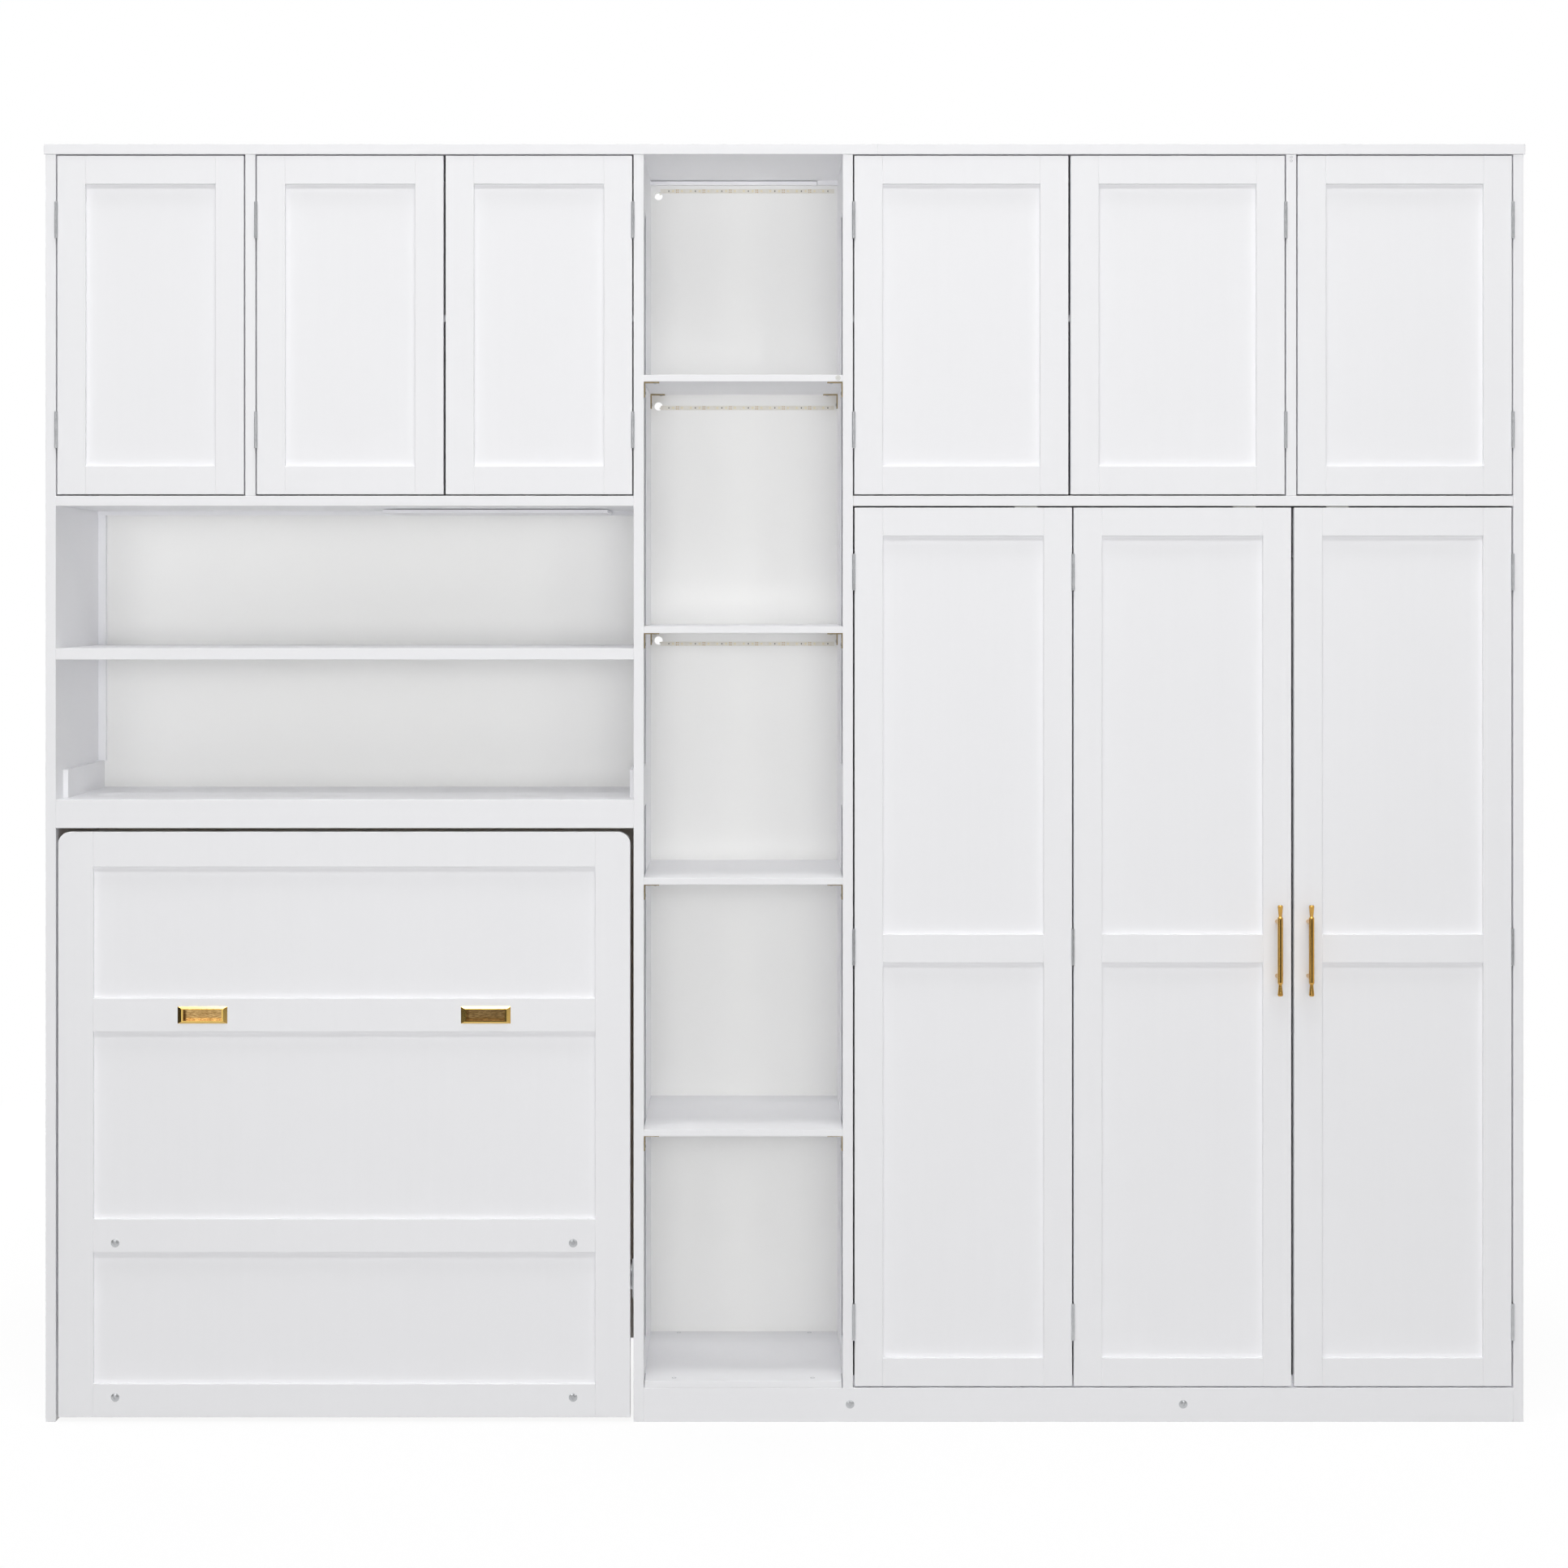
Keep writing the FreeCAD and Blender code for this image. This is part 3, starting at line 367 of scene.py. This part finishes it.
# parts soldered on the three light strips, counted along x from the column's left side
lightStrip = {"heightsMm": [2224.0, 1815.0, 1370.0], "cutMm": 50.0, "firstPadMm": 50.0, "pads": 6,
              "padSpreadMm": (1.6, 2.0), "firstResistorMm": 34.0, "resistors": 7, "firstChipMm": 42.0,
              "chipPitchMm": 16.667, "chips": 18, "chipMm": (3.5, 0.8, 2.8), "chipEaseMm": 0.15,
              "padMm": (1.6, 0.25, 2.0), "padEaseMm": 0.06, "resistorMm": (1.8, 0.6, 2.4),
              "resistorEaseMm": 0.12}
columnLow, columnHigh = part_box("column_shelves")
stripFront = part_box("led_strips")[0].y
chipMesh = bmesh.new()
padMesh = bmesh.new()
resistorMesh = bmesh.new()
for height in lightStrip["heightsMm"]:
    z = height * mm
    for i in range(lightStrip["chips"]):
        x = columnLow.x + (lightStrip["firstChipMm"] + i * lightStrip["chipPitchMm"]) * mm
        y = stripFront - lightStrip["chipMm"][1] / 2 * mm
        addBlock(chipMesh, (x, y, z), lightStrip["chipMm"], lightStrip["chipEaseMm"])
    for i in range(lightStrip["pads"]):
        for sideX in (-1, 1):
            for sideZ in (-1, 1):
                x = columnLow.x + (lightStrip["firstPadMm"] + i * lightStrip["cutMm"]
                                   + sideX * lightStrip["padSpreadMm"][0]) * mm
                y = stripFront - lightStrip["padMm"][1] / 2 * mm
                padZ = z + sideZ * lightStrip["padSpreadMm"][1] * mm
                addBlock(padMesh, (x, y, padZ), lightStrip["padMm"], lightStrip["padEaseMm"])
    for i in range(lightStrip["resistors"]):
        x = columnLow.x + (lightStrip["firstResistorMm"] + i * lightStrip["cutMm"]) * mm
        y = stripFront - lightStrip["resistorMm"][1] / 2 * mm
        addBlock(resistorMesh, (x, y, z), lightStrip["resistorMm"], lightStrip["resistorEaseMm"])
makePiece("lightChips", chipMesh, phosphor, "carcass")
makePiece("solderPads", padMesh, padCopper, "carcass")
makePiece("stripResistors", resistorMesh, ceramic, "carcass")
print("light strips dressed")

# pan-head screws that hold the shelf brackets
screw = {"ringsMm": [(3.4, 0.0), (3.4, 0.5), (2.7, 1.1), (1.2, 1.6)], "reachMm": 20.0, "bracketMm": 2.0,
         "inMm": 7.5, "sides": 20, "shelfUndersidesMm": [505.0, 950.0, 1395.0, 1840.0]}
bracketLow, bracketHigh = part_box("shelf_brackets")
screwMesh = bmesh.new()
for underside in screw["shelfUndersidesMm"]:
    for y in (bracketLow.y + screw["inMm"] * mm, bracketHigh.y - screw["inMm"] * mm):
        for wallX, side in ((columnLow.x, 1), (columnHigh.x, -1)):
            z = underside * mm
            under = (wallX + side * screw["reachMm"] * mm, y, z - screw["bracketMm"] * mm)
            beside = (wallX + side * screw["bracketMm"] * mm, y, z - screw["reachMm"] * mm)
            addTurned(screwMesh, screw["ringsMm"], under, (0, 0, -1), screw["sides"])
            addTurned(screwMesh, screw["ringsMm"], beside, (side, 0, 0), screw["sides"])
makePiece("bracketScrews", screwMesh, zincPlate, "carcass")
print("bracket screws set")

# countersunk screws in the column floor and at the head of the right divider, with a dished recess each
sunk = {"floorRingsMm": [(4.2, -0.4), (4.2, 0.15), (3.6, 0.3), (1.8, -0.2)], "floorInMm": 53.0,
        "floorFrontMm": 23.0, "floorBackMm": 9.0, "dividerHeightsMm": [2237.0, 2230.5], "dividerInMm": 9.0,
        "dividerRingsMm": [(2.3, -0.4), (2.3, 0.15), (1.9, 0.3), (0.9, -0.3)], "sides": 24}
floorLow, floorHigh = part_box("column_floor")
dividerLow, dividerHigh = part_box("cupboard_dividers")
sunkMesh = bmesh.new()
for x in (floorLow.x + sunk["floorInMm"] * mm, floorHigh.x - sunk["floorInMm"] * mm):
    for y in (floorLow.y + sunk["floorFrontMm"] * mm, floorHigh.y - sunk["floorBackMm"] * mm):
        addTurned(sunkMesh, sunk["floorRingsMm"], (x, y, floorHigh.z), (0, 0, 1), sunk["sides"])
for height in sunk["dividerHeightsMm"]:
    head = (dividerHigh.x - sunk["dividerInMm"] * mm, dividerLow.y, height * mm)
    addTurned(sunkMesh, sunk["dividerRingsMm"], head, (0, -1, 0), sunk["sides"])
makePiece("sunkScrews", sunkMesh, zincPlate, "carcass")

# a pressed-in cover cap on the front edge of the top column shelf, ringed by its own groove
cap = {"ringsMm": [(4.6, -0.4), (4.6, 0.3), (4.0, 0.45), (3.3, -0.1), (2.8, 0.3), (0.9, 0.45)], "inMm": 8.4,
       "sides": 28, "heightMm": 1846.5}
capMesh = bmesh.new()
capPlace = (columnHigh.x - cap["inMm"] * mm, columnLow.y, cap["heightMm"] * mm)
addTurned(capMesh, cap["ringsMm"], capPlace, (0, -1, 0), cap["sides"])
makePiece("shelfCap", capMesh, nylon, "carcass")
print("small screws and cap set")

# the floor is white to the eye and in the metal, and grey to the light it throws back,
# so that the ledges stay brighter than the undersides; far off it goes to plain white, so no horizon shows
studio = {"floor": "#FFFFFF", "bounce": "#B4B4B4", "floorM": 40.0, "floorRoughness": 0.9, "glowNear": 0.9,
          "nearM": 1.6, "farM": 4.0, "ambient": 0.12, "dimRoom": 0.3, "dimFromY": -0.35, "dimToY": 0.15,
          "litFromZ": 0.15, "litToZ": 0.5, "bounces": 12}
floorPaint, tree, shader = newMaterial("studioFloorWhite")
shader.inputs["Roughness"].default_value = studio["floorRoughness"]
path = addNode(tree, "ShaderNodeLightPath")
colour = addNode(tree, "ShaderNodeMix", {"Factor": path.outputs["Is Camera Ray"], 6: linear(studio["bounce"]),
                                         7: linear(studio["floor"])}, data_type="RGBA")
tree.links.new(colour.outputs[2], shader.inputs["Base Color"])
place = addNode(tree, "ShaderNodeTexCoord")
away = addNode(tree, "ShaderNodeVectorMath", {0: place.outputs["Object"]}, operation="LENGTH")
fade = addNode(tree, "ShaderNodeMapRange", {"Value": away.outputs["Value"], "From Min": studio["nearM"],
                                            "From Max": studio["farM"], "To Min": studio["glowNear"]})
glow = addNode(tree, "ShaderNodeEmission", {"Color": (1, 1, 1, 1), "Strength": 1.0})
seen = addNode(tree, "ShaderNodeMath", {0: path.outputs["Is Camera Ray"], 1: path.outputs["Is Glossy Ray"]},
               operation="MAXIMUM")
seen = addNode(tree, "ShaderNodeMath", {0: seen.outputs["Value"], 1: path.outputs["Is Transmission Ray"]},
               operation="MAXIMUM")
share = addNode(tree, "ShaderNodeMath", {0: seen.outputs["Value"], 1: fade.outputs["Result"]},
                operation="MULTIPLY")
mix = addNode(tree, "ShaderNodeMixShader", {0: share.outputs["Value"], 1: shader.outputs["BSDF"],
                                            2: glow.outputs["Emission"]})
tree.links.new(mix.outputs["Shader"], tree.nodes["Material Output"].inputs["Surface"])
bpy.ops.mesh.primitive_plane_add(size=studio["floorM"], location=(0, 0, 0))
floor = bpy.context.object
floor.name = "studioFloor"
floor.data.materials.append(floorPaint)

# white all round, but metal sees the unlit half of the room low on the camera's side
world = bpy.data.worlds.new("studioWorld")
bpy.context.scene.world = world
world.use_nodes = True
tree = world.node_tree
tree.nodes.clear()
path = addNode(tree, "ShaderNodeLightPath")
place = addNode(tree, "ShaderNodeTexCoord")
apart = addNode(tree, "ShaderNodeSeparateXYZ", {"Vector": place.outputs["Generated"]})
room = addNode(tree, "ShaderNodeMapRange", {"Value": apart.outputs["Y"], "From Min": studio["dimFromY"],
                                            "From Max": studio["dimToY"], "To Min": studio["dimRoom"]})
above = addNode(tree, "ShaderNodeMapRange", {"Value": apart.outputs["Z"], "From Min": studio["litFromZ"],
                                             "From Max": studio["litToZ"]})
room = addNode(tree, "ShaderNodeMath", {0: room.outputs["Result"], 1: above.outputs["Result"]},
               operation="MAXIMUM")
mirrored = addNode(tree, "ShaderNodeMath", {0: path.outputs["Is Glossy Ray"], 1: room.outputs["Value"]},
                   operation="MULTIPLY")
seen = addNode(tree, "ShaderNodeMath", {0: path.outputs["Is Camera Ray"], 1: mirrored.outputs["Value"]},
               operation="MAXIMUM")
seen = addNode(tree, "ShaderNodeMath", {0: seen.outputs["Value"], 1: path.outputs["Is Transmission Ray"]},
               operation="MAXIMUM")
level = addNode(tree, "ShaderNodeMapRange", {"Value": seen.outputs["Value"], "To Min": studio["ambient"]})
sky = addNode(tree, "ShaderNodeBackground", {"Color": (1, 1, 1, 1), "Strength": level.outputs["Result"]})
addNode(tree, "ShaderNodeOutputWorld", {"Surface": sky.outputs["Background"]})

# dark cards out of the picture, which give the brass its brown edges
cards = {"colour": "#1C1B1A", "roughness": 1.0,
         "frontCard": [(-1.15, -3.9, 0), (4.2, -3.9, 0), (4.2, -3.9, 1.0), (-1.15, -3.9, 1.0)],
         "leftCard": [(-4.2, -3.8, 0), (-4.2, -0.6, 0), (-4.2, -0.6, 1.6), (-4.2, -3.8, 1.6)]}
cardCloth, tree, shader = newMaterial("cardBlackMatt")
shader.inputs["Base Color"].default_value = linear(cards["colour"])
shader.inputs["Roughness"].default_value = cards["roughness"]
for name in ("frontCard", "leftCard"):
    data = bpy.data.meshes.new(name)
    data.from_pydata(cards[name], [], [(0, 1, 2, 3)])
    data.materials.append(cardCloth)
    card = bpy.data.objects.new(name, data)
    card.visible_camera = False
    card.visible_diffuse = False
    card.visible_shadow = False
    card.visible_transmission = False
    bpy.context.scene.collection.objects.link(card)

# high lamps draw the ledges, the front bank fills without a sheen, the boxes give the sheen,
# and the side and rear lamps light the sides and the back
lamps = {"topBank": {"at": (-0.4, -2.2, 12.0), "to": (0, -0.2, 1.2), "size": (5.0, 2.0), "watts": 370.0},
         "highBank": {"at": (-0.3, -5.0, 7.0), "to": (0, 0, 1.1), "size": (3.0, 1.2), "watts": 108.0},
         "frontBank": {"at": (0.05, -6.4, 1.4), "to": (0.05, 0, 1.1), "size": (2.6, 1.6), "watts": 122.0},
         "leftCorner": {"at": (-2.0, -2.6, 4.4), "to": (-1.0, 0, 1.8), "size": (1.2, 0.8), "watts": 13.0},
         "rightCorner": {"at": (1.6, -3.2, 4.4), "to": (0.9, 0, 1.8), "size": (1.2, 0.8), "watts": 15.0},
         "leftBox": {"at": (-2.3, -5.8, 2.1), "to": (-0.3, 0, 1.4), "size": (0.9, 1.4), "watts": 20.0},
         "rightBox": {"at": (2.3, -5.8, 2.1), "to": (0.3, 0, 1.4), "size": (0.9, 1.4), "watts": 20.0},
         "leftSide": {"at": (-4.6, 0.9, 1.3), "to": (-1.3, 0, 1.1), "size": (1.6, 1.6), "watts": 48.0},
         "rightSide": {"at": (4.6, 0.9, 1.3), "to": (1.3, 0, 1.1), "size": (1.6, 1.6), "watts": 48.0},
         "leftRear": {"at": (-3.2, 4.2, 1.3), "to": (-0.4, 0, 1.1), "size": (1.6, 1.6), "watts": 92.0},
         "rightRear": {"at": (3.2, 4.2, 1.3), "to": (0.4, 0, 1.1), "size": (1.6, 1.6), "watts": 92.0}}
withoutSheen = ["frontBank", "leftSide", "rightSide", "leftRear", "rightRear"]
for name, lamp in lamps.items():
    light = bpy.data.lights.new(name, "AREA")
    light.shape = "RECTANGLE"
    light.size, light.size_y = lamp["size"]
    light.energy = lamp["watts"]
    thing = bpy.data.objects.new(name, light)
    thing.location = lamp["at"]
    thing.visible_glossy = name not in withoutSheen
    thing.rotation_euler = (Vector(lamp["to"]) - Vector(lamp["at"])).to_track_quat("-Z", "Y").to_euler()
    bpy.context.scene.collection.objects.link(thing)

view = {"x": -0.0488, "z": 1.469, "standOff": 5.593, "lens": 72.6, "sensorMm": 36.0,
        "shift": (0.01726, -0.1229)}
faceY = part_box("bay_fascia")[0].y
camera = bpy.data.objects.new("photoCamera", bpy.data.cameras.new("photoCamera"))
camera.location = (view["x"], faceY - view["standOff"], view["z"])
camera.rotation_euler = (math.pi / 2, 0, 0)
camera.data.lens = view["lens"]
camera.data.sensor_width = view["sensorMm"]
camera.data.shift_x, camera.data.shift_y = view["shift"]
bpy.context.scene.collection.objects.link(camera)
bpy.context.scene.camera = camera
bpy.context.scene.view_settings.view_transform = "Standard"
bpy.context.scene.cycles.diffuse_bounces = studio["bounces"]
print("studio and camera set")
